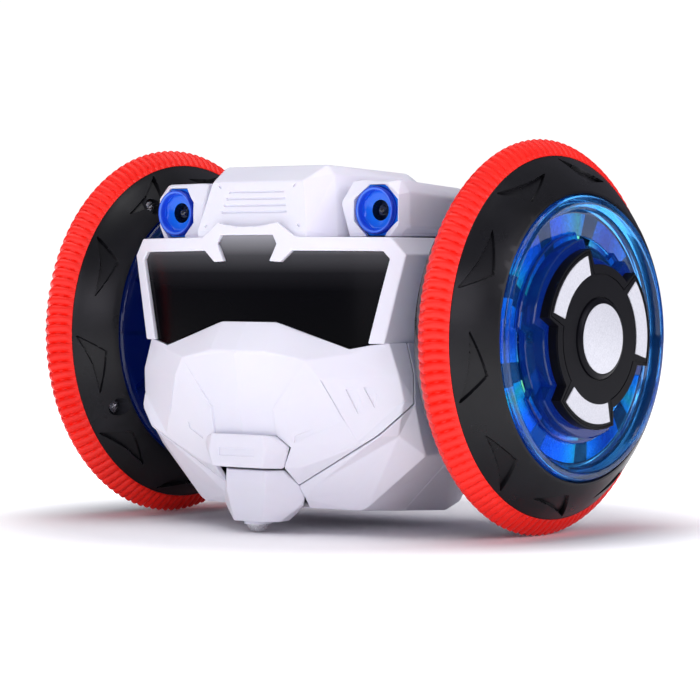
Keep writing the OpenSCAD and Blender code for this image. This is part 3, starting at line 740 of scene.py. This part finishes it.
def rib(side, a):
    """Thin radial web on the inner cover's outside face."""
    half, foot, top = 0.8, -19.2, -22.2
    verts = []
    for r in (26, 60.5):
        turn = np.degrees(half / r)
        rise = -0.8 if r < 30 else 0.0
        for out in (foot, top + rise):
            for sign in (-1, 1):
                verts.append(on_wheel(side, out, r, a + sign * turn))
    faces = [(0, 1, 3, 2), (4, 6, 7, 5), (0, 4, 5, 1), (2, 3, 7, 6), (0, 2, 6, 4), (1, 5, 7, 3)]
    return verts, faces


def glitter_disc(side, name, node):
    """Foil ring cut into blades, so that dark gaps show between them."""
    blades, parts = 9, []
    for k in range(blades):
        a = 360 / blades * k
        outline = [(59.6, a + 1 + i * 3.6) for i in range(9)]
        outline += [(45.6, a + 33 - i * 3.6) for i in range(9)]
        parts.append(outline_ring(side, outline, [(16.9, 0), (17.4, 0)]))
    return new_piece(name, join(*parts), node, 30)


def band(side, outside, inside, low, high):
    """Flat strip between two outlines with the same number of points."""
    verts, faces, n = [], [], len(outside)
    for outline, out in ((outside, low), (outside, high), (inside, high), (inside, low)):
        verts += [on_wheel(side, out, r, a) for r, a in outline]
    for j in range(4):
        for i in range(n):
            k, m = (i + 1) % n, (j + 1) % 4
            faces.append((j * n + i, j * n + k, m * n + k, m * n + i))
    return verts, faces


def hub_badge(side, name, node):
    """Black plate with three lobes, an engraved border line and a raised middle."""
    base = lobed_outline(35.2, 43.3, 32.5, 3.5, 10)
    rim = lobed_outline(35.0, 43.1, 32.4, 3.5, 10)
    groove_out = lobed_outline(30.9, 42.2, 31.2, 3.6, 10)
    groove_in = lobed_outline(30.3, 41.7, 30.6, 3.7, 10)
    core = lobed_outline(19.9, 19.9, 30.6, 3.7, 10)
    parts = [
        outline_ring(side, base, [(27.4, -0.3), (32.3, 0), (32.4, -0.1)]),
        band(side, rim, groove_out, 32.3, 32.95),
        band(side, groove_in, core, 32.3, 32.95),
        revolve(side, [(19.4, 32.4), (19.2, 33.5), (18.6, 34.0), (17.6, 34.6), (17.0, 34.7),
                       (0.01, 35.2)], 96),
    ]
    return new_piece(name, join(*parts), node, 25)


def silver_inlays(side, name, node):
    parts = []
    for centre in LOBE_ANGLES:
        outline = [(40.4, centre - 28 + 56 * i / 12) for i in range(13)]
        outline += [(31.2, centre + 28 - 56 * i / 12) for i in range(13)]
        parts.append(outline_ring(side, outline, [(32.8, 0), (33.3, 0), (33.4, -0.1)]))
    parts.append(revolve(side, [(16.6, 34.7), (16.5, 35.0), (16.1, 35.1), (0.01, 35.5)], 96))
    return new_piece(name, join(*parts), node, 25)


# ------------------------------------------------------------------ headlights
def lathe_y(centre, profile, steps=96, turn=0.0):
    """Ring of a profile [(radius, set-back)] round an axis along Y."""
    verts, faces, n = [], [], len(profile)
    for j in range(steps):
        a = turn + 2 * pi * j / steps
        for r, back in profile:
            verts.append((centre.x + r * cos(a), centre.y + back, centre.z + r * sin(a)))
    for j in range(steps):
        k = (j + 1) % steps
        for i in range(n - 1):
            faces.append((j * n + i, j * n + i + 1, k * n + i + 1, k * n + i))
    return verts, faces


def headlight(node, name):
    """Open blue cup standing on an eight-sided flange."""
    low, high = (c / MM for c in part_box(node))
    centre = Vector(((low.x + high.x) / 2, low.y, (low.z + high.z) / 2))
    corner_r = (high.x - low.x) / 2 / cos(pi / 8)
    cup = rounded(closed([
        (11.3, 0.4), (11.1, 0), (10.2, 0), (9.7, 0.6), (9.4, 3.9), (8.4, 4.8), (4.9, 5.2),
        (5.3, 6.2), (10.2, 6.0), (10.9, 5.2), (10.9, 2.0), (11.3, 1.6),
    ]), 0.3)
    plate = closed([
        (corner_r, 3.4), (corner_r, 4.8), (9.6, 4.8), (9.6, 3.2), (corner_r - 0.3, 3.2),
    ])
    # the socket's faces come last and get the painted shade
    socket = lathe_y(centre, [(4.95, 5.35), (4.6, 10.9), (0.01, 10.9)])
    return new_piece(name, join(lathe_y(centre, cup),
                                lathe_y(centre, plate, steps=8, turn=pi / 8), socket),
                     node, 30, len(socket[1]))


# ------------------------------------------------------------------ the model
def build_wheels():
    for side, word in ((1, "right"), (-1, "left")):
        tread_ring(side, f"ribbed_ring_{word}")
        dome(side, 1, f"dome_out_{word}", f"outer_dome_{word}")
        dome(side, -1, f"dome_in_{word}", f"inner_dome_{word}")
        outer_cap(side, f"window_{word}", f"outer_cap_{word}")
        inner_cap(side, f"hub_cover_{word}", f"inner_cap_{word}")
        glitter_disc(side, f"foil_blades_{word}", f"glitter_disc_{word}")
        hub_badge(side, f"badge_plate_{word}", f"hub_badge_{word}")
        silver_inlays(side, f"badge_inlays_{word}", f"silver_inlays_{word}")
        headlight(f"lens_{word}", f"lamp_cup_{word}")


def reach_down(obj, foot, height, drop):
    """Move what is within height mm of the foot down by drop mm, to meet the shell below."""
    for v in obj.data.vertices:
        if v.co.z < foot + height * MM:
            v.co.z -= drop * MM


def build_shells():
    head = softened("head_shell", "head_moulding", 0.9)
    reach_down(head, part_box("head_shell")[0].z, 0.3, 0.75)
    surround = softened("visor_frame", "visor_surround", 0.7)
    reach_down(surround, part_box("visor_frame")[0].z, 1.5, 0.8)
    softened("face_mask", "mask_moulding", 0.6, grow=0.12)
    softened("mouthpiece", "mouth_moulding", 0.7, grow=0.3)
    softened("lower_shell", "lower_moulding", 0.6, grow=0.12)
    softened("chin_flap", "chin_moulding", 0.7, grow=0.25)
    softened("rear_shell", "rear_moulding", 0.9)
    softened("battery_door", "battery_cover", 0.4)


# ------------------------------------------------------------------ stage
def area_light(name, place, target, size, power, color=(1, 1, 1)):
    light = bpy.data.lights.new(name, "AREA")
    light.shape = "RECTANGLE"
    light.size, light.size_y = size
    light.energy = power
    light.color = color
    obj = bpy.data.objects.new(name, light)
    obj.location = place
    direction = Vector(target) - Vector(place)
    obj.rotation_euler = direction.to_track_quat("-Z", "Y").to_euler()
    bpy.context.scene.collection.objects.link(obj)


def fade_to_white(mat):
    """Away from the model the floor glows, so that it meets the white background."""
    nodes = mat.node_tree.nodes
    coords = nodes.new("ShaderNodeTexCoord")
    far = nodes.new("ShaderNodeVectorMath")
    glow = nodes.new("ShaderNodeMapRange")
    far.operation = "LENGTH"
    glow.interpolation_type = "SMOOTHSTEP"
    begins, full = 0.13, 0.27    # metres from the middle of the floor
    glow.inputs["From Min"].default_value = begins
    glow.inputs["From Max"].default_value = full
    link(mat, coords.outputs["Object"], far.inputs[0])
    link(mat, far.outputs["Value"], glow.inputs["Value"])
    shader_of(mat).inputs["Emission Color"].default_value = (1, 1, 1, 1)
    link(mat, glow.outputs["Result"], shader_of(mat).inputs["Emission Strength"])


def build_stage():
    size = 3.0
    mesh = bpy.data.meshes.new("floor")
    mesh.from_pydata([(-size, -size, 0), (size, -size, 0), (size, size, 0), (-size, size, 0)],
                     [], [(0, 1, 2, 3)])
    floor = bpy.data.objects.new("floor", mesh)
    paper = material("paper", (0.93, 0.93, 0.94), 0.8, Specular_IOR_Level=0.1)
    vary_color(paper, 3, (0.92, 0.92, 0.93), (0.94, 0.94, 0.95))
    fade_to_white(paper)
    mesh.materials.append(paper)
    bpy.context.scene.collection.objects.link(floor)
    target, lavender = (0, 0, 0.1), (0.94, 0.9, 1.0)
    area_light("key", (-1.4, -1.2, 1.25), target, (1.0, 1.0), 4.4)
    area_light("top", (-0.1, -0.2, 1.7), target, (1.4, 1.3), 14)
    area_light("fill", (0.3, -1.8, 0.3), target, (1.1, 0.5), 3.6, lavender)
    area_light("front", (1.6, -1.4, 0.75), target, (1.0, 0.8), 8.5, lavender)
    area_light("side", (1.9, 0.3, 0.9), target, (1.1, 0.9), 14, lavender)
    world = bpy.data.worlds.new("studio")
    world.use_nodes = True
    bpy.context.scene.world = world
    tree = world.node_tree
    background = tree.nodes["Background"]
    sky = tree.nodes.new("ShaderNodeTexCoord")
    split = tree.nodes.new("ShaderNodeSeparateXYZ")
    tones = tree.nodes.new("ShaderNodeValToRGB")
    path = tree.nodes.new("ShaderNodeLightPath")
    mix = tree.nodes.new("ShaderNodeMixShader")
    paper_white = tree.nodes.new("ShaderNodeBackground")
    paper_white.inputs["Color"].default_value = (1, 1, 1, 1)
    paper_white.inputs["Strength"].default_value = 1.05
    tones.color_ramp.elements[0].position = 0.0
    tones.color_ramp.elements[0].color = (0.13, 0.12, 0.2, 1)
    tones.color_ramp.elements[1].position = 0.8
    tones.color_ramp.elements[1].color = (0.92, 0.92, 1.05, 1)
    background.inputs["Strength"].default_value = 0.3
    tree.links.new(sky.outputs["Generated"], split.inputs["Vector"])
    tree.links.new(split.outputs["Z"], tones.inputs["Fac"])
    tree.links.new(tones.outputs["Color"], background.inputs["Color"])
    tree.links.new(path.outputs["Is Camera Ray"], mix.inputs["Fac"])
    tree.links.new(background.outputs["Background"], mix.inputs[1])
    tree.links.new(paper_white.outputs["Background"], mix.inputs[2])
    tree.links.new(mix.outputs["Shader"], tree.nodes["World Output"].inputs["Surface"])
    bpy.context.scene.view_settings.view_transform = "Standard"


def build_camera():
    data = bpy.data.cameras.new("camera")
    data.lens = 152.7
    data.sensor_width = 36
    camera = bpy.data.objects.new("camera", data)
    camera.location = (0.9328, -1.1692, 0.13)
    camera.rotation_euler = (radians(88.35), 0, radians(38.57))
    bpy.context.scene.collection.objects.link(camera)
    bpy.context.scene.camera = camera


dress_cad_nodes()
build_wheels()
build_shells()
build_stage()
build_camera()
